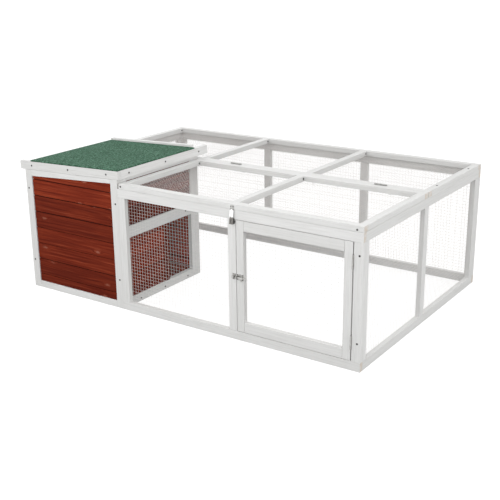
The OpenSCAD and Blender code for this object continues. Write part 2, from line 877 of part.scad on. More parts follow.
module wall_screws() {
    corner_x = run_l - screw_inset;
    rib_z = wall_h + rail_t / 2;
    staple_reach = staple_plate_r - small_r - staple_margin;
    site() color(dark) {
        for (z = [screw_low, screw_high]) {
            front_screws([[screw_inset, z], [hutch_w - screw_inset, z], [corner_x, z - screw_drop]],
                         0, screw_r, screw_h);
        }
        side_screws(hutch_w, [for (i = [-1 : 1]) [sill_screw_y + i * sill_screw_step, sill_screw_z]]);
        side_screws(hutch_w, [[lintel_screw_y, lintel_z + lintel_h / 2]]);
        for (p = even_posts(run_l, rail_w, back_windows)) {
            x = p[0] + rail_w;
            if (x < run_l) side_screws(x, [[run_w - rail_w - rib_screw, rib_z]]);
        }
        for (y = [joint_y + rear_screw, run_w - rear_screw]) {
            translate([corner_x, y, wall_h + rail_t]) screw(screw_r, screw_h);
        }
        front_screws([for (x = [-1, 1]) [hasp_x + x * staple_reach, staple_z]],
                     -plate_t, small_r, small_h);
        front_screws(plate_screws(keeper_x + keeper_l / 2), -plate_t, small_r, small_h);
    }
}

module run_roof_screws() {
    mid_z = lid_z + rail_t / 2;
    site() color(dark) {
        front_screws([[lid_x + lid_screw, mid_z],
                      [run_l - lid_screw - lid_screw_shift[0], mid_z - lid_screw_shift[1]]],
                     0, screw_r, screw_h);
        for (p = even_posts(lid_l, rail_w, 2)) {
            x = lid_x + p[0] + rail_w;
            if (x < run_l) side_screws(x, [[lid_d - rail_w - rib_screw, mid_z]]);
        }
        front_screws([for (x = [-1, 1]) [hasp_x + x * leaf_screw[0], hasp_axis_z + leaf_screw[1]]],
                     -leaf_t, small_r, small_h);
    }
}

module hutch_roof_screws() {
    site() color(dark) on_roof() {
        front_screws([for (i = [0 : 2]) [roof_screw_x - stub_l + i * roof_screw_step_x, fascia_h / 2]],
                     0, screw_r, screw_h);
        side_screws(hutch_w + roof_reach,
                    [for (i = [0 : 2]) [roof_screw_y + i * roof_screw_step_y, fascia_h / 2]]);
    }
}

module door_screws() {
    inset = small_r + guide_margin;
    site() color(dark) for (x = [bolt_x + inset, guide_end - inset]) {
        front_screws(plate_screws(x), -plate_t, small_r, small_h);
    }
}

front_panel();
front_net();
right_panel();
right_net();
back_panel();
back_net();
left_panel();
left_net();
rear_roof_frame();
rear_roof_net();
hutch_front_frame();
hutch_front_boards();
hutch_back_frame();
hutch_back_boards();
hutch_left_frame();
hutch_left_boards();
doorway_frame();
doorway_low_boards();
doorway_high_boards();
doorway_jamb();
floor_bearers();
floor_boards();
run_roof_frame();
run_roof_net();
door_frame();
door_net();
roof_front_batten();
roof_right_batten();
roof_back_batten();
roof_left_batten();
roof_ribs();
roof_board();
roof_felt();
run_hinge_leaves();
run_hinge_flaps();
run_hinge_pins();
door_hinge_leaves();
door_hinge_flaps();
door_hinge_pins();
hutch_hinge_leaves();
hutch_hinge_flaps();
hutch_hinge_pins();
hasp_leaf();
hasp_pin();
hasp_strap();
staple_plate();
turn_staple();
bolt_plate();
bolt_rod();
bolt_keeper();
wall_screws();
run_roof_screws();
hutch_roof_screws();
door_screws();
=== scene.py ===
"""Looks of an outdoor run for a small pet, with a boarded hutch in one corner."""
import json
import math
import random

import bmesh
import bpy
import numpy as np
from mathutils import Matrix, Vector


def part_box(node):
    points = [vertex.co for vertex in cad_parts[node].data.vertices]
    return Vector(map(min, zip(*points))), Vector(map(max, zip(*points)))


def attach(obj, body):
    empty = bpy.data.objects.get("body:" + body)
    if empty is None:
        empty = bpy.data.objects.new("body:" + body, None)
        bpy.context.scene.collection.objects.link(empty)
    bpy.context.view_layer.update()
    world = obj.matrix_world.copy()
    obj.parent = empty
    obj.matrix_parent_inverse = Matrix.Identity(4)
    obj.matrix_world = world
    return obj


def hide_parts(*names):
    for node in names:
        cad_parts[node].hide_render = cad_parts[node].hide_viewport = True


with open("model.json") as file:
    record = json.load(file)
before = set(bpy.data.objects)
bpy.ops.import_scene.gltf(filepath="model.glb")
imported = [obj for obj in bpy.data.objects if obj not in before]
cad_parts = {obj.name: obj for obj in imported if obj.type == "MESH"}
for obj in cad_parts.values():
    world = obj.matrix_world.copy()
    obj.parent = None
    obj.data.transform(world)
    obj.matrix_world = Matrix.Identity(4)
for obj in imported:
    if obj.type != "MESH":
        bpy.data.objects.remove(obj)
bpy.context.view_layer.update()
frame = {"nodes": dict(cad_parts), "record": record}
nodes = frame["nodes"]
body_of = {n: b for b, names in frame["record"]["behaviour"]["bodies"].items() for n in names}

MM = 0.001
X, Y, Z = Vector((1, 0, 0)), Vector((0, 1, 0)), Vector((0, 0, 1))

# The hutch's roof slopes along X
SLOPE = math.radians(2.1)
ROOF_X = Vector((math.cos(SLOPE), 0, math.sin(SLOPE)))
ROOF_Z = Vector((-math.sin(SLOPE), 0, math.cos(SLOPE)))

# Eased edges of the battens, the door's battens, the boards, their tongues, the plywood and the
# metal parts
BATTEN_EASE = 1.0 * MM
DOOR_EASE = 1.4 * MM
BOARD_EASE = 1.6 * MM
TONGUE_EASE = 0.2 * MM
PLY_EASE = 0.5 * MM
METAL_EASE = 0.25 * MM

# Boards: the narrowest and widest groove between two, half the thickness and half the height of
# the tongue behind it, the tone of the lowest board and how much lighter the highest one is, which
# is painted shade, darker low and lighter high, and how far a board's own tone may lie below and
# above that
GROOVES = (1.3 * MM, 3.4 * MM)
TONGUE_T = 1.2 * MM
TONGUE_H = 3 * MM
BOARD_TONE, BOARD_RISE = 0.22, 0.42
DARKER, LIGHTER = 0.2, 0.25

# Welded net: distance between its wires, their radius, and the depth of the second layer's
# middle. A wire has a corner every WIRE_STEP. It sways sideways by between the two millimetre
# figures of SWAY and sags by up to twice SAG. The rates are in radians per metre
PITCH = 12.7 * MM
WIRE_R = 0.35 * MM
SECOND_LAYER = WIRE_R * 2.8
WIRE_STEP = 110 * MM
SWAY, SWAY_RATE = (0.05, 0.28), 23
SAG, SAG_RATE = 0.12 * MM, 31

# Staples that hold a net: distance between them and from the net's edge, width, radius, and how
# far one may be turned, in radians, and out of line, in millimetres
STAPLE_STEP = 105 * MM
STAPLE_INSET = 6 * MM
STAPLE_W = 10 * MM
STAPLE_R = 0.45 * MM
STAPLE_TURN, STAPLE_OFF = 0.3, 1

# Height at which the hasp's strap turns from painted shade to bright
STRAP_SHADE = (452 * MM, 458 * MM)

# Sides of a screw head
HEAD_SIDES = 20

# Leaves of the hinges beside the hutch: thickness, the screws' distance from the edge and their
# places along the leaf as shares of its length, and the heads' radius and height
LEAF_T = 1.2 * MM
LEAF_SCREW = 5 * MM
LEAF_SCREWS = (0.16, 0.5, 0.84)
LEAF_HEAD = (2.3 * MM, 0.6 * MM)

# Felt: thickness, radius of its turned edges, depth of its waves, and columns of its mesh
FELT_T = 1.0 * MM
FELT_TURN = 1.6 * MM
FELT_WAVE = 0.2 * MM
FELT_STEPS = 60

# Points closer together than this are one
SAME_PLACE = 0.01 * MM

# Floor: radius and height of its rings, where it curves up to a wall, and how many sides it has
FLOOR_RINGS = ((8.0, 0.0), (20.0, 0.0), (22.5, 0.7), (24.2, 2.4), (25.0, 5.0), (25.0, 14.0))
FLOOR_SIDES = 64

# Strength of the white sky above the horizon and below it, and where one fades into the other
SKY, GROUND = 1.05, 0.15
HORIZON = 0.1

# Lamps: place, power in watts, width and height. All of them point at AIM
AIM = (0, 0, 0.15)
LAMPS = {"front": ((0.0, -1.95, 0.9), 22, 3.4, 1.2),
         "right": ((2.6, -0.1, 0.9), 17.7, 2.4, 1.2),
         "behind": ((-2.4, 2.4, 1.2), 14, 3.0, 1.2)}

# Camera as fitted to the photo: place, angles in degrees, and the lens on its sensor in
# millimetres
CAMERA_AT = (1.9719, -2.8984, 1.3196)
AZIMUTH, ELEVATION, ROLL = 34.24, 18.53, -0.583
LENS, SENSOR = 65.27, 36.0


# Materials
class Nodes:
    """A small helper that builds a material's node tree."""

    def __init__(self, name):
        self.material = bpy.data.materials.new(name)
        self.material.use_nodes = True
        self.tree = self.material.node_tree
        self.shader = self.tree.nodes["Principled BSDF"]

    def add(self, kind, values=(), **settings):
        node = self.tree.nodes.new(kind)
        for key, value in settings.items():
            setattr(node, key, value)
        for key, value in dict(values).items():
            if isinstance(value, bpy.types.NodeSocket):
                self.tree.links.new(value, node.inputs[key])
            else:
                node.inputs[key].default_value = value
        return node

    def grain(self):
        return self.add("ShaderNodeAttribute", attribute_name="grain").outputs["Vector"]

    def tone(self):
        return self.add("ShaderNodeAttribute", attribute_name="tone").outputs["Fac"]

    def place(self):
        return self.add("ShaderNodeTexCoord").outputs["Object"]

    def scaled(self, vector, scale):
        return self.add("ShaderNodeVectorMath", {0: vector, 1: scale},
                        operation="MULTIPLY").outputs[0]

    def noise(self, vector, scale, detail, rough=0.55, distortion=0.0):
        return self.add("ShaderNodeTexNoise", {
            "Vector": vector, "Scale": scale, "Detail": detail, "Roughness": rough,
            "Distortion": distortion}).outputs["Fac"]

    def ramp(self, fac, stops):
        node = self.add("ShaderNodeValToRGB", {"Fac": fac})
        points = node.color_ramp.elements
        while len(points) < len(stops):
            points.new(0.5)
        for point, (place, colour) in zip(points, stops):
            point.position = place
            point.color = (*colour, 1)
        return node.outputs["Color"]

    def levels(self, fac, low, high, out_low, out_high):
        return self.add("ShaderNodeMapRange", {
            "Value": fac, "From Min": low, "From Max": high, "To Min": out_low,
            "To Max": out_high}).outputs["Result"]

    def math(self, operation, a, b):
        return self.add("ShaderNodeMath", {0: a, 1: b}, operation=operation).outputs[0]

    def mix(self, fac, a, b, blend="MIX"):
        node = self.add("ShaderNodeMix", data_type="RGBA", blend_type=blend)
        for key, value in ((0, fac), (6, a), (7, b)):
            if isinstance(value, bpy.types.NodeSocket):
                self.tree.links.new(value, node.inputs[key])
            elif key == 0:
                node.inputs[key].default_value = value
            else:
                node.inputs[key].default_value = (*value, 1)
        return node.outputs[2]

    def bump(self, height, strength, distance, normal=None):
        values = {"Height": height, "Strength": strength, "Distance": distance}
        if normal is not None:
            values["Normal"] = normal
        return self.add("ShaderNodeBump", values).outputs["Normal"]

    def link(self, socket, name):
        self.tree.links.new(socket, self.shader.inputs[name])

    def set(self, **values):
        for key, value in values.items():
            self.shader.inputs[key.replace("_", " ")].default_value = value
        return self.material


def white_paint():
    """Thin white paint through which a little of the grain shows."""
    m = Nodes("white_paint")
    grain = m.grain()
    streaks = m.noise(m.scaled(grain, (9, 260, 260)), 1.0, 5, 0.6, 0.4)
    broad = m.noise(m.scaled(grain, (2.2, 26, 26)), 1.0, 3, 0.5)
    blotch = m.noise(m.scaled(grain, (14, 14, 14)), 1.0, 3, 0.6)
    base = m.ramp(streaks, [(0.28, (0.575, 0.572, 0.560)), (0.52, (0.660, 0.659, 0.652)),
                            (0.8, (0.695, 0.695, 0.689))])
    aged = m.mix(m.levels(broad, 0.35, 0.75, 0.0, 0.4), base, (0.59, 0.587, 0.575))
    wear_and_painted_shade = m.mix(m.levels(blotch, 0.62, 0.85, 0.0, 0.35), aged, (0.555, 0.545, 0.525))
    shade = m.ramp(m.tone(), [(0, (0.955, 0.955, 0.95)), (1, (1.03, 1.03, 1.03))])
    m.link(m.mix(1.0, wear_and_painted_shade, shade, "MULTIPLY"), "Base Color")
    m.link(m.levels(streaks, 0.3, 0.7, 0.62, 0.48), "Roughness")
    fine = m.bump(streaks, 0.35, 0.0006)
    m.link(m.bump(broad, 0.25, 0.0015, fine), "Normal")
    return m.set(Specular_IOR_Level=0.4)


def end_grain():
    """Sawn end of a batten, bare and a little soiled with paint."""
    m = Nodes("end_grain")
    grain = m.grain()
    flat = m.scaled(grain, (0, 1, 1))
    rings = m.add("ShaderNodeTexWave", {
        "Vector": flat, "Scale": 130.0, "Distortion": 2.5, "Detail": 2.0,
        "Detail Scale": 1.5}, wave_type="RINGS", rings_direction="SPHERICAL").outputs["Fac"]
    pores = m.noise(m.scaled(grain, (300, 900, 900)), 1.0, 3, 0.6)
    base = m.mix(rings, (0.66, 0.60, 0.53), (0.60, 0.525, 0.445))
    soiled = m.mix(m.levels(m.noise(m.scaled(grain, (75, 75, 75)), 1.0, 3), 0.40, 0.6, 0.1, 0.95),
                   base, (0.665, 0.65, 0.63))
    m.link(m.mix(m.levels(pores, 0.35, 0.65, 0.0, 0.3), soiled, (0.50, 0.435, 0.37)), "Base Color")
    m.link(m.bump(pores, 0.5, 0.0005), "Normal")
    return m.set(Roughness=0.85, Specular_IOR_Level=0.25)


def red_stain(name, inside):
    """Reddish brown stain on softwood boards, with streaks and pale knots. inside is the share of
    a plain lighter red, which the boards have on the hutch's inside."""
    m = Nodes(name)
    grain = m.grain()
    bend = m.noise(m.scaled(grain, (5, 12, 12)), 1.0, 2, 0.5)
    cells = m.add("ShaderNodeTexVoronoi", {"Vector": m.scaled(grain, (7, 17, 0)), "Scale": 1.0},
                  voronoi_dimensions="2D")
    away = m.math("ADD", cells.outputs["Distance"],
                  m.math("MULTIPLY", m.noise(m.scaled(grain, (90, 260, 0)), 1.0, 3, 0.7), 0.24))
    chance = m.add("ShaderNodeSeparateColor", {"Color": cells.outputs["Color"]}).outputs[0]
    knotty = m.levels(chance, 0.60, 0.64, 0.0, 1.0)
    swirl = m.math("MULTIPLY", m.levels(away, 0.0, 0.34, 1.0, 0.0), 0.030)
    bent_by = m.math("ADD", m.math("MULTIPLY", bend, 0.012), m.math("MULTIPLY", swirl, knotty))
    shift = m.add("ShaderNodeCombineXYZ", {"Y": bent_by}).outputs[0]
    bent = m.add("ShaderNodeVectorMath", {0: grain, 1: shift}, operation="ADD").outputs[0]
    lines = m.noise(m.scaled(bent, (4.0, 190, 80)), 1.0, 5, 0.7)
    broad = m.noise(m.scaled(bent, (3.6, 42, 20)), 1.0, 3, 0.55)
    pores = m.noise(m.scaled(grain, (28, 900, 900)), 1.0, 3, 0.6)
    base = m.ramp(lines, [(0.28, (0.070, 0.0062, 0.0022)), (0.43, (0.140, 0.0142, 0.0046)),
                          (0.57, (0.200, 0.0250, 0.0080)), (0.74, (0.330, 0.0640, 0.0290))])
    banded = m.mix(m.levels(broad, 0.40, 0.64, 0.0, 0.5), base, (0.090, 0.0080, 0.0030))
    pale = m.levels(away, 0.13, 0.23, 0.75, 0.0)
    core = m.levels(away, 0.11, 0.14, 0.45, 0.0)
    knotted = m.mix(m.math("MULTIPLY", pale, knotty), banded, (0.36, 0.125, 0.082))
    cored = m.mix(m.math("MULTIPLY", core, knotty), knotted, (0.12, 0.028, 0.015))
    # Tone multiplies the stain. The tongues' tone 0 is painted shade, almost black in the grooves.
    # On boards the tone also holds painted shade by height, darker low and lighter high. Other
    # pieces get a random tone
    tone_and_painted_shade = m.ramp(m.tone(), [(0.0, (0.16, 0.13, 0.12)), (0.1, (0.60, 0.55, 0.52)),
                             (1.0, (1.47, 1.68, 1.76))])
    toned = m.mix(1.0, cored, tone_and_painted_shade, "MULTIPLY")
    m.link(m.mix(inside, toned, (0.62, 0.080, 0.045)), "Base Color")
    m.link(m.levels(lines, 0.3, 0.75, 0.80, 0.64), "Roughness")
    fine = m.bump(pores, 0.3, 0.0004)
    m.link(m.bump(lines, 0.45, 0.0008, fine), "Normal")
    return m.set(Specular_IOR_Level=0.07)


def plywood():
    """Pale plywood under the felt."""
    m = Nodes("plywood")
    grain = m.grain()
    lines = m.noise(m.scaled(grain, (3, 70, 70)), 1.0, 5, 0.6, 0.8)
    broad = m.noise(m.scaled(grain, (3, 9, 9)), 1.0, 2, 0.5)
    base = m.ramp(lines, [(0.3, (0.44, 0.30, 0.18)), (0.7, (0.62, 0.47, 0.31))])
    m.link(m.mix(m.levels(broad, 0.4, 0.7, 0.0, 0.4), base, (0.50, 0.35, 0.22)), "Base Color")
    m.link(m.bump(lines, 0.3, 0.0005), "Normal")
    return m.set(Roughness=0.7, Specular_IOR_Level=0.3)


def mineral_felt():
    """Green roofing felt, covered with fine slate granules."""
    m = Nodes("mineral_felt")
    place = m.place()
    cells = m.add("ShaderNodeTexVoronoi", {"Vector": place, "Scale": 480.0})
    speck = m.add("ShaderNodeSeparateColor", {"Color": cells.outputs["Color"]}).outputs[0]
    coarse = m.noise(place, 135.0, 2, 0.8)
    cloud = m.noise(place, 9.0, 4, 0.6)
    base = m.ramp(speck, [(0.0, (0.010, 0.035, 0.020)), (0.3, (0.029, 0.086, 0.050)),
                          (0.7, (0.046, 0.126, 0.075)), (0.93, (0.080, 0.182, 0.118)),
                          (1.0, (0.24, 0.33, 0.28))])
    grit = m.mix(m.levels(coarse, 0.50, 0.62, 0.0, 0.9), base, (0.128, 0.258, 0.178))
    dark = m.mix(m.levels(coarse, 0.47, 0.36, 0.0, 0.85), grit, (0.014, 0.046, 0.026))
    m.link(m.mix(m.levels(cloud, 0.35, 0.7, 0.0, 0.3), dark, (0.034, 0.098, 0.059)), "Base Color")
    height = m.math("ADD", m.math("MULTIPLY", cells.outputs["Distance"], -1.0), coarse)
    m.link(m.bump(height, 0.9, 0.0009), "Normal")
    return m.set(Roughness=0.95, Specular_IOR_Level=0.12)


def metal(name, colours, rough, scale, spangle, metallic=1.0):
    """Sheet or wire with a patchy tone and fine scratches. colours are the tone's darkest and
    lightest and that of the crystals on it."""
    m = Nodes(name)
    place = m.place()
    patch = m.noise(place, scale, 4, 0.6)
    cells = m.add("ShaderNodeTexVoronoi", {"Vector": place, "Scale": scale * 2.2})
    crystal = m.add("ShaderNodeSeparateColor", {"Color": cells.outputs["Color"]}).outputs[0]
    base = m.ramp(patch, [(0.3, colours[0]), (0.7, colours[1])])
    m.link(m.mix(m.math("MULTIPLY", crystal, spangle), base, colours[2]), "Base Color")
    scratch = m.noise(m.scaled(place, (1, 1, 0.12)), scale * 14, 3, 0.6)
    m.link(m.levels(scratch, 0.3, 0.7, rough - 0.08, rough + 0.12), "Roughness")
    m.link(m.bump(scratch, 0.25, 0.0002), "Normal")
    return m.set(Metallic=metallic)


def strap_metal():
    """Bright strap, painted dark round its slot as shade."""
    m = Nodes("bright_zinc")
    place = m.place()
    patch = m.noise(place, 420, 3, 0.6)
    height = m.add("ShaderNodeSeparateXYZ", {"Vector": place}).outputs["Z"]
    # Below this ragged height the strap is painted dark, as shade round the slot and staple
    wear_and_painted_shade = m.math("ADD", height, m.math("MULTIPLY", patch, 6 * MM))
    base = m.ramp(patch, [(0.3, (0.62, 0.62, 0.62)), (0.7, (0.78, 0.78, 0.78))])
    painted_shade_tone = m.ramp(patch, [(0.35, (0.045, 0.042, 0.038)), (0.65, (0.26, 0.25, 0.235))])
    m.link(m.mix(m.levels(wear_and_painted_shade, *STRAP_SHADE, 1.0, 0.0), base, painted_shade_tone), "Base Color")
    m.link(m.levels(patch, 0.3, 0.7, 0.28, 0.44), "Roughness")
    m.link(m.bump(patch, 0.25, 0.0002), "Normal")
    return m.set(Metallic=0.9)


def floor_material():
    """White to the camera at any height, mostly by its own light."""
    m = Nodes("pale_floor")
    haze = m.noise(m.place(), 0.6, 2, 0.5)
    grey = m.ramp(haze, [(0.3, (0.200, 0.200, 0.200)), (0.7, (0.215, 0.215, 0.215))])
    m.link(grey, "Base Color")
    return m.set(Roughness=0.9, Specular_IOR_Level=0.1, Emission_Color=(1, 1, 1, 1),
                 Emission_Strength=0.88)


WHITE = white_paint()
END = end_grain()
RED = red_stain("red_stain", 0.0)
RED_INSIDE = red_stain("red_stain_inside", 0.6)
PLY = plywood()
FELT = mineral_felt()
ZINC = metal("zinc_plate", [(0.26, 0.255, 0.245), (0.44, 0.435, 0.42), (0.62, 0.615, 0.60)],
             0.34, 90, 0.3)
BRIGHT = strap_metal()
DARK = metal("dark_steel", [(0.085, 0.083, 0.08), (0.15, 0.147, 0.14), (0.21, 0.205, 0.20)],
             0.42, 120, 0.3, 0.8)
HEADS = metal("screw_steel", [(0.035, 0.034, 0.032), (0.075, 0.073, 0.07), (0.12, 0.118, 0.113)],
              0.45, 240, 0.25, 0.7)
STEEL = metal("staple_steel", [(0.34, 0.33, 0.32), (0.48, 0.47, 0.46), (0.60, 0.59, 0.57)],
              0.4, 200, 0.3, 0.7)
WIRE = metal("galvanised_wire", [(0.63, 0.60, 0.575), (0.755, 0.73, 0.705), (0.85, 0.83, 0.81)],
             0.5, 130, 0.35, 0.15)
SOCKET = metal("socket_shadow", [(0.012, 0.012, 0.012), (0.02, 0.02, 0.019), (0.03, 0.03, 0.03)],
               0.7, 300, 0.2, 0.2)


# Pieces
def solids_of(node):
    """The node's separate solids, each as an array of its corner points."""
    mesh = nodes[node].data
    co = np.array([v.co for v in mesh.vertices], float)
    key = {}
    weld = np.array([key.setdefault(tuple(np.round(c * 1e5).astype(int)), len(key)) for c in co])
    parent = list(range(len(key)))

    def root(i):
        while parent[i] != i:
            parent[i] = parent[parent[i]]
            i = parent[i]
        return i

    for face in mesh.polygons:
        first = root(weld[face.vertices[0]])
        for v in face.vertices[1:]:
            parent[root(weld[v])] = first
    groups = {}
    for i, w in enumerate(weld):
        groups.setdefault(root(w), []).append(co[i])
    found = [np.unique(np.round(np.array(g), 7), axis=0) for g in groups.values()]
    return sorted(found, key=lambda g: tuple(np.round(g.mean(0), 4)))


def long_axes(points, sloping):
    """The solid's long direction and two across it."""
    axes = [ROOF_X, Y, ROOF_Z] if sloping else [X, Y, Z]
    spans = [np.ptp(points @ np.array(a)) for a in axes]
    first = int(np.argmax(spans))
    across = sorted((i for i in range(3) if i != first), key=lambda i: -spans[i])
    return [axes[i] for i in (first, *across)]


def linked_object(name, bm, materials):
    """A mesh object made of bm, in the scene."""
    mesh = bpy.data.meshes.new(name)
    bm.to_mesh(mesh)
    bm.free()
    for material in materials:
        mesh.materials.append(material)
    thing = bpy.data.objects.new(name, mesh)
    bpy.context.scene.collection.objects.link(thing)
    return thing


def new_piece(name, bm, materials, body, replaced=(), smooth=None):
    """A piece of the object, on its body. smooth is the angle in degrees up to which edges are
    shaded smooth."""
    thing = linked_object(name, bm, materials)
    mesh = thing.data
    if smooth is not None:
        mesh.shade_smooth()
        mesh.set_sharp_from_angle(angle=math.radians(smooth))
    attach(thing, body)
    if replaced:
        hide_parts(*replaced)
    return thing


def once(things):
    """The things in their order and each one once. A set's order would change from run to run."""
    return list(dict.fromkeys(things))


def eased_solid(bm, points, axes, ease, seed, layers, tones=(0.1, 1.0), marked=None):
    """Adds one convex piece of wood with eased edges, and writes its grain and a tone between
    the two given. The faces get the second material where marked is true of their normal."""
    grain, tone = layers
    fresh = [bm.verts.new(p) for p in points]
    made = bmesh.ops.convex_hull(bm, input=fresh)
    spare = [e for e in made["geom_interior"] + made["geom_unused"]
             if isinstance(e, bmesh.types.BMVert)]
    if spare:
        bmesh.ops.delete(bm, geom=once(spare), context="VERTS")
    verts = [v for v in fresh if v.is_valid]
    edges = once(e for v in verts for e in v.link_edges)
    bmesh.ops.dissolve_limit(bm, angle_limit=math.radians(1), verts=verts, edges=edges)
    verts = [v for v in verts if v.is_valid]
    edges = once(e for v in verts for e in v.link_edges)
    out = bmesh.ops.bevel(bm, geom=edges, offset=ease, segments=2, profile=0.6, affect="EDGES",
                          offset_type="OFFSET", clamp_overlap=True)
    faces = once(f for v in out["verts"] if v.is_valid for f in v.link_faces)
    rng = random.Random(seed)
    offset = Vector((rng.uniform(0, 40), rng.uniform(0, 4), rng.uniform(0, 4)))
    level = rng.uniform(*tones)
    for v in once(v for f in faces for v in f.verts):
        v[grain] = Vector([v.co.dot(a) for a in axes]) + offset
        v[tone] = level
    for f in faces:
        f.material_index = 1 if marked and marked(f.normal) else 0


def wood(node, bm, materials):
    """The finished wooden piece. Its wide faces shade flat, and only the eased edges look round."""
    bmesh.ops.recalc_face_normals(bm, faces=bm.faces)
    thing = new_piece(f"{node}_wood", bm, materials, body_of[node], [node], 40)
    thing.modifiers.new("flat_faces", "WEIGHTED_NORMAL").keep_sharp = True


def along_x(points):
    """Whether the piece is a rail that runs across the front, not a post."""
    return np.ptp(points[:, 0]) > 200 * MM


def timber(node, materials, ease, bare_ends=False, sloping=False):
    """Wooden pieces with eased edges in the places of a node's solids. bare_ends shows the sawn
    ends of those that run along X."""
    bm = bmesh.new()
    layers = bm.verts.layers.float_vector.new("grain"), bm.verts.layers.float.new("tone")
    for i, points in enumerate(solids_of(node)):
        axes = long_axes(points, sloping)
        ends = (lambda normal: abs(normal.x) > 0.9) if bare_ends and along_x(points) else None
        eased_solid(bm, points, axes, ease, f"{node}{i}", layers, marked=ends)
    wood(node, bm, materials)


def at_height(points, z):
    """Which of the points lie at height z."""
    return np.isclose(points[:, 2], z, atol=0.1 * MM)


def boards(node, inward):
    """Boards with an open groove between them and a thin tongue behind each groove. inward
    points to the hutch's inside. Lower boards are painted darker and higher ones lighter, as
    painted shade, and the tongues are painted almost black as shade in the grooves."""
    bm = bmesh.new()
    layers = bm.verts.layers.float_vector.new("grain"), bm.verts.layers.float.new("tone")
    rng = random.Random(node)
    thin = 0 if inward.x else 1
    solids = sorted(solids_of(node), key=lambda g: g[:, 2].mean())
    low, high = solids[0][:, 2].min(), solids[-1][:, 2].max()
    gap = 0.0
    for i, points in enumerate(solids):
        z0, z1 = points[:, 2].min(), points[:, 2].max()
        axes = long_axes(points, False)
        moved = points.copy()
        moved[at_height(points, z0), 2] += gap / 2
        if i > 0:
            tongue = points.copy()
            middle = (points[:, thin].min() + points[:, thin].max()) / 2
            tongue[:, thin] = middle + np.where(points[:, thin] > middle, TONGUE_T, -TONGUE_T)
            tongue[:, 2] = z0 + np.where(at_height(points, z0), -TONGUE_H, TONGUE_H)
            # Tone 0 paints the tongue almost black, as shade in the groove in front of it
            eased_solid(bm, tongue, axes, TONGUE_EASE, f"{node}{i}t", layers, (0.0, 0.0))
        if i < len(solids) - 1:
            gap = rng.uniform(*GROOVES)
            moved[at_height(points, z1), 2] -= gap / 2
        # Painted shade: the lower the board, the darker its tone
        level = BOARD_TONE + BOARD_RISE * (points[:, 2].mean() - low) / (high - low)
        eased_solid(bm, moved, axes, BOARD_EASE, f"{node}{i}", layers,
                    (level - DARKER, level + LIGHTER), lambda normal: normal.dot(inward) > 0.5)
    wood(node, bm, [RED, RED_INSIDE])


def tube(bm, points, radius, side, sides=6):
    """Adds a tube along points that lie in the plane across side, a unit vector."""
    rings = []
    for i, p in enumerate(points):
        ahead = (points[min(i + 1, len(points) - 1)] - points[max(i - 1, 0)]).normalized()
        up = side.cross(ahead).normalized()
        rings.append([bm.verts.new(p + (side * math.cos(a) + up * math.sin(a)) * radius)
                      for a in (2 * math.pi * k / sides for k in range(sides))])
    for low, high in zip(rings, rings[1:]):
        for k in range(sides):
            bm.faces.new((low[k], low[(k + 1) % sides], high[(k + 1) % sides], high[k]))
    bm.faces.new(rings[0][::-1])
    bm.faces.new(rings[-1])


def net_corner(node, u, v, out):
    """Corner of a net's box where it lies on the wood, and the net's two lengths."""
    low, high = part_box(node)
    corner = Vector([low[i] if (u + v)[i] > 0 else 0.0 for i in range(3)])
    corner += out * (max(low.dot(out), high.dot(out)) - corner.dot(out))
    return corner, (high - low).dot(u), (high - low).dot(v)


def wire_net(node, u, v, out):
    """Fine welded mesh in the place of a net. u and v lie in its plane, out points to the wood.
    The wires along v lie against the wood, the others behind them."""
    corner, size_u, size_v = net_corner(node, u, v, out)
    rng = random.Random(node)
    bm = bmesh.new()
    for along, across, length, width, depth in ((v, u, size_v, size_u, WIRE_R),
                                                (u, v, size_u, size_v, SECOND_LAYER)):
        count = int((width - 2 * WIRE_R) / PITCH)
        first = (width - count * PITCH) / 2
        steps = max(2, round(length / WIRE_STEP))
        for i in range(count + 1):
            wave = rng.uniform(*SWAY) * MM
            phase = rng.uniform(0, 2 * math.pi)
            points = []
            for k in range(steps + 1):
                way = length * k / steps
                sway = wave * math.sin(phase + way * SWAY_RATE)
                sag = SAG * (1 + math.sin(phase + way * SAG_RATE))
                points.append(corner + along * way + across * (first + i * PITCH + sway)
                              - out * (depth + sag))
            tube(bm, points, WIRE_R, across)
    new_piece(f"{node}_mesh", bm, [WIRE], body_of[node], [node], 50)


def staples(node, u, v, out):
    """Staples that hold the net's edge, one every STAPLE_STEP, none quite straight."""
    corner, size_u, size_v = net_corner(node, u, v, out)
    rng = random.Random(f"{node} staples")
    bm = bmesh.new()
    half = STAPLE_W / 2
    # Place along the staple's crown, and millimetres off the wood
    shape = ((-half, -1.0), (-half, 1.5), (-half + 0.7 * MM, 2.2), (half - 0.7 * MM, 2.2),
             (half, 1.5), (half, -1.0))
    for along, across, length, width in ((u, v, size_u, size_v), (v, u, size_v, size_u)):
        count = round((length - 2 * STAPLE_INSET - STAPLE_W) / STAPLE_STEP)
        for edge in (STAPLE_INSET, width - STAPLE_INSET):
            for i in range(count + 1):
                way = STAPLE_INSET + half + (length - 2 * STAPLE_INSET - STAPLE_W) * i / count
                turn = rng.uniform(-STAPLE_TURN, STAPLE_TURN)
                crown = along * math.cos(turn) + across * math.sin(turn)
                off = rng.uniform(-STAPLE_OFF, STAPLE_OFF) * MM
                middle = corner + along * way + across * (edge + off)
                tube(bm, [middle + crown * x - out * (h * MM) for x, h in shape], STAPLE_R,
                     crown.cross(out), 5)
    new_piece(f"{node}_staples", bm, [STEEL], body_of[node], smooth=50)


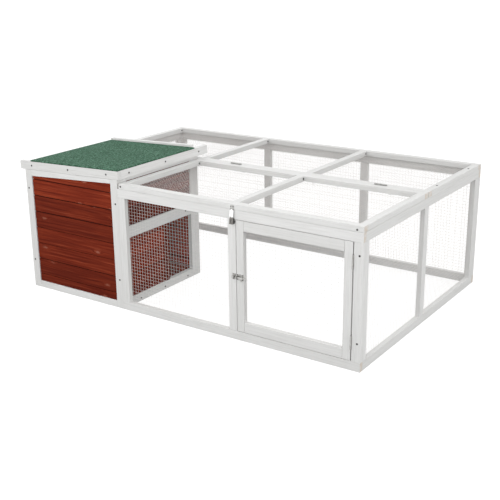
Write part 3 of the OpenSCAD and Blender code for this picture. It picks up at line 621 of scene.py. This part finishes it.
def screw_head(bm, place, normal, radius, height, twist):
    """Adds a round head with a cross recess, turned by twist."""
    side = normal.cross(Z if abs(normal.z) < 0.9 else X).normalized()
    up = side.cross(normal)

    def ring(r, h):
        return [bm.verts.new(place + normal * h + (side * math.cos(a) + up * math.sin(a)) * r)
                for a in (2 * math.pi * k / HEAD_SIDES for k in range(HEAD_SIDES))]

    def bridge(a, b, index=0):
        for k in range(len(a)):
            face = bm.faces.new((a[k], a[(k + 1) % len(a)], b[(k + 1) % len(a)], b[k]))
            face.material_index = index
            face.smooth = True

    # Shares of the radius and of the height
    profile = [(1.0, 0.0), (1.0, 0.35), (0.93, 0.72), (0.78, 0.94), (0.66, 1.0)]
    rings = [ring(radius * r, height * h) for r, h in profile]
    for a, b in zip(rings, rings[1:]):
        bridge(a, b)
    bm.faces.new(rings[0][::-1])
    arm, half = radius * 0.56, radius * 0.13

    def cross(shrink, h):
        outline = []
        for q in range(4):
            a = twist + q * math.pi / 2
            along = side * math.cos(a) + up * math.sin(a)
            across = side * -math.sin(a) + up * math.cos(a)
            for x, y in ((half, -half), (arm, -half), (arm, half)):
                outline.append(bm.verts.new(place + normal * h + (along * x + across * y) * shrink))
        return outline

    top = cross(1.0, height)
    bottom = cross(0.55, height - min(radius * 0.5, height * 0.8))
    edges = [bm.edges.get((a, b)) or bm.edges.new((a, b))
             for loop in (rings[-1], top) for a, b in zip(loop, loop[1:] + loop[:1])]
    bmesh.ops.triangle_fill(bm, use_beauty=True, use_dissolve=False, edges=edges, normal=normal)
    bridge(top, bottom, 1)
    bm.faces.new(bottom).material_index = 1


def screws(node):
    """Cross-head screws in the places of a node's discs."""
    rng = random.Random(node)
    bm = bmesh.new()
    for points in solids_of(node):
        low, high = points.min(0), points.max(0)
        centred = points - points.mean(0)
        normal = Vector(np.linalg.svd(centred)[2][2])
        out = X if abs(normal.x) > 0.7 else -Y if abs(normal.y) > 0.7 else Z
        if normal.dot(out) < 0:
            normal = -normal
        spread = centred @ np.array(normal)
        middle = Vector((low + high) / 2)
        height = float(np.ptp(spread))
        radius = float(np.linalg.norm(centred - np.outer(spread, normal), axis=1).max())
        screw_head(bm, middle - normal * (height / 2), normal, radius, height,
                   rng.uniform(0, math.pi / 2))
    bmesh.ops.recalc_face_normals(bm, faces=bm.faces)
    new_piece(f"{node}_heads", bm, [HEADS, SOCKET], body_of[node], [node])


def felt_cover():
    """Roofing felt turned down over the sheet's edges at the front and the sides, a little wavy."""
    points = np.array([v.co for v in nodes["roof_felt"].data.vertices], float)
    local = np.stack([points @ np.array(a) for a in (ROOF_X, Y, ROOF_Z)], 1)
    low, high = local.min(0), local.max(0)
    drop = high[2] - low[2]
    rng = random.Random("felt")
    # Waves: rates along X and Y in radians per metre, and the phase
    waves = [(rng.uniform(6, 30), rng.uniform(6, 30), rng.uniform(0, 2 * math.pi))
             for _ in range(7)]
    # Steps over a turned edge: how far out and how far down, as shares of the turn
    edge = ((0.5, 0.13), (0.87, 0.5), (1.0, 1.0), (1.0, drop / FELT_TURN))

    def over(i):
        """Distance past a turned edge and the fall there, for i columns beyond it."""
        return [FELT_TURN * share for share in edge[i - 1]] if i > 0 else (0.0, 0.0)

    bm = bmesh.new()
    grid = []
    flat_x, flat_y = high[0] - low[0] - 2 * FELT_TURN, high[1] - low[1] - FELT_TURN
    for j in range(-len(edge), FELT_STEPS + 1):
        row = []
        for i in range(-len(edge), FELT_STEPS + len(edge) + 1):
            x = low[0] + FELT_TURN + flat_x * min(max(i, 0), FELT_STEPS) / FELT_STEPS
            y = low[1] + FELT_TURN + flat_y * max(j, 0) / FELT_STEPS
            wave = sum(math.sin(a * x + b * y + c) for a, b, c in waves) / len(waves)
            left, left_fall = over(-i)
            right, right_fall = over(i - FELT_STEPS)
            front, front_fall = over(-j)
            down = max(FELT_WAVE * (1 + wave), left_fall, right_fall, front_fall)
            place = ROOF_X * (x - left + right) + Y * (y - front) + ROOF_Z * (high[2] - down)
            row.append(bm.verts.new(place))
        grid.append(row)
    for a, b in zip(grid, grid[1:]):
        for k in range(len(a) - 1):
            bm.faces.new((a[k], a[k + 1], b[k + 1], b[k]))
    bmesh.ops.remove_doubles(bm, verts=bm.verts, dist=SAME_PLACE)
    bmesh.ops.recalc_face_normals(bm, faces=bm.faces)
    thing = new_piece("roof_felt_cover", bm, [FELT], "hutch_roof", ["roof_felt"], 60)
    solid = thing.modifiers.new("thickness", "SOLIDIFY")
    solid.thickness, solid.offset = FELT_T, -1.0


def hinge_screws(node, up):
    """Three screws in each leaf beside the hutch's left wall. up is 1 for the upper leaves."""
    rng = random.Random(node)
    bm = bmesh.new()
    for points in solids_of(node):
        low, high = points.min(0), points.max(0)
        face = high[0] - LEAF_T
        level = high[2] - LEAF_SCREW if up > 0 else low[2] + LEAF_SCREW
        for share in LEAF_SCREWS:
            place = Vector((face, low[1] + (high[1] - low[1]) * share, level))
            screw_head(bm, place, -X, *LEAF_HEAD, rng.uniform(0, math.pi / 2))
    bmesh.ops.recalc_face_normals(bm, faces=bm.faces)
    new_piece(f"{node}_screws", bm, [HEADS, SOCKET], body_of[node])


def metal_part(node, material):
    """A metal part that keeps its CAD shape, with softened edges and a better material."""
    thing = nodes[node]
    thing.data.materials.clear()
    thing.data.materials.append(material)
    thing.modifiers.new("weld", "WELD").merge_threshold = SAME_PLACE
    bevel = thing.modifiers.new("bevel", "BEVEL")
    bevel.width, bevel.segments, bevel.limit_method = METAL_EASE, 2, "ANGLE"
    bevel.angle_limit = math.radians(50)


# Stage, light and camera
def cyclorama():
    """A pale floor that curves up to a wall far away, so that low views see white all round.
    It casts no light on the object, because the photo's white is a cut-out."""
    bm = bmesh.new()
    rings = [[bm.verts.new((r * math.cos(a), r * math.sin(a), z))
              for a in (2 * math.pi * i / FLOOR_SIDES for i in range(FLOOR_SIDES))]
             for r, z in FLOOR_RINGS]
    centre = bm.verts.new((0.0, 0.0, 0.0))
    for i in range(FLOOR_SIDES):
        j = (i + 1) % FLOOR_SIDES
        bm.faces.new((centre, rings[0][i], rings[0][j]))
        for inner, outer in zip(rings, rings[1:]):
            bm.faces.new((inner[i], outer[i], outer[j], inner[j]))
    floor = linked_object("floor", bm, [floor_material()])
    floor.data.shade_smooth()
    floor.visible_diffuse = floor.visible_shadow = False


def sky():
    """Soft white light from above, and less from below as off a floor."""
    world = bpy.data.worlds.new("sky")
    bpy.context.scene.world = world
    world.use_nodes = True
    tree = world.node_tree
    direction = tree.nodes.new("ShaderNodeTexCoord")
    split = tree.nodes.new("ShaderNodeSeparateXYZ")
    fade = tree.nodes.new("ShaderNodeMapRange")
    tree.links.new(direction.outputs["Generated"], split.inputs[0])
    tree.links.new(split.outputs["Z"], fade.inputs["Value"])
    for name, value in (("From Min", -HORIZON), ("From Max", HORIZON),
                        ("To Min", GROUND), ("To Max", SKY)):
        fade.inputs[name].default_value = value
    background = tree.nodes["Background"]
    background.inputs["Color"].default_value = (1, 1, 1, 1)
    tree.links.new(fade.outputs["Result"], background.inputs["Strength"])


def lamp(name, place, power, width, height):
    """A rectangular lamp that points at AIM."""
    light = bpy.data.lights.new(name, "AREA")
    light.energy, light.shape, light.size, light.size_y = power, "RECTANGLE", width, height
    thing = bpy.data.objects.new(name, light)
    thing.location = place
    thing.rotation_euler = (Vector(AIM) - Vector(place)).to_track_quat("-Z", "Y").to_euler()
    bpy.context.scene.collection.objects.link(thing)


def camera_like_the_photo():
    """The camera as it was fitted to the photo, without depth of field."""
    camera = bpy.data.cameras.new("camera")
    camera.lens, camera.sensor_width = LENS, SENSOR
    camera.clip_start, camera.clip_end = 0.05, 100
    thing = bpy.data.objects.new("camera", camera)
    azimuth, elevation, roll = (math.radians(a) for a in (AZIMUTH, ELEVATION, ROLL))
    forward = Vector((-math.sin(azimuth) * math.cos(elevation),
                      math.cos(azimuth) * math.cos(elevation), -math.sin(elevation)))
    level = Vector((math.cos(azimuth), math.sin(azimuth), 0))
    upright = level.cross(forward)
    right = level * math.cos(roll) + upright * math.sin(roll)
    up = upright * math.cos(roll) - level * math.sin(roll)
    thing.matrix_world = (Matrix.Translation(CAMERA_AT)
                          @ Matrix((right, up, -forward)).transposed().to_4x4())
    bpy.context.scene.collection.objects.link(thing)
    bpy.context.scene.camera = thing
    bpy.context.scene.view_settings.view_transform = "Standard"


# Wood: rails that run across the front show bare ends on the right
for node in ("front_panel", "back_panel", "rear_roof_frame", "run_roof_frame"):
    timber(node, [WHITE, END], BATTEN_EASE, bare_ends=True)
for node in ("right_panel", "left_panel", "hutch_front_frame", "hutch_back_frame",
             "hutch_left_frame", "doorway_frame"):
    timber(node, [WHITE], BATTEN_EASE)
timber("door_frame", [WHITE], DOOR_EASE)
for node in ("roof_front_batten", "roof_right_batten", "roof_back_batten", "roof_left_batten",
             "roof_ribs"):
    timber(node, [WHITE], BATTEN_EASE, sloping=True)
for node, inward in (("hutch_front_boards", Y), ("hutch_back_boards", -Y), ("hutch_left_boards", X),
                     ("doorway_low_boards", -X), ("doorway_high_boards", -X)):
    boards(node, inward)
timber("doorway_jamb", [RED], BOARD_EASE)
for node in ("floor_bearers", "floor_boards"):
    timber(node, [RED], BATTEN_EASE)
timber("roof_board", [PLY], PLY_EASE, sloping=True)

# Welded mesh on the inside of each frame, and its staples
for node, u, v, out in (("front_net", X, Z, -Y), ("door_net", X, Z, -Y), ("right_net", Y, Z, X),
                        ("left_net", Y, Z, -X), ("back_net", X, Z, Y), ("rear_roof_net", X, Y, Z),
                        ("run_roof_net", X, Y, Z)):
    wire_net(node, u, v, out)
    staples(node, u, v, out)

for node in ("wall_screws", "run_roof_screws", "hutch_roof_screws", "door_screws"):
    screws(node)

felt_cover()
hinge_screws("hutch_hinge_leaves", -1)
hinge_screws("hutch_hinge_flaps", 1)

# Metal parts: hinges, hasp and bolt
for node in ("run_hinge_leaves", "run_hinge_flaps", "door_hinge_leaves", "door_hinge_flaps",
             "hutch_hinge_leaves", "hutch_hinge_flaps", "hasp_leaf", "bolt_plate", "bolt_rod",
             "bolt_keeper"):
    metal_part(node, ZINC)
metal_part("hasp_strap", BRIGHT)
for node in ("run_hinge_pins", "door_hinge_pins", "hutch_hinge_pins", "hasp_pin", "staple_plate",
             "turn_staple"):
    metal_part(node, DARK)

cyclorama()
sky()
for name, (place, power, width, height) in LAMPS.items():
    lamp(name, place, power, width, height)
camera_like_the_photo()
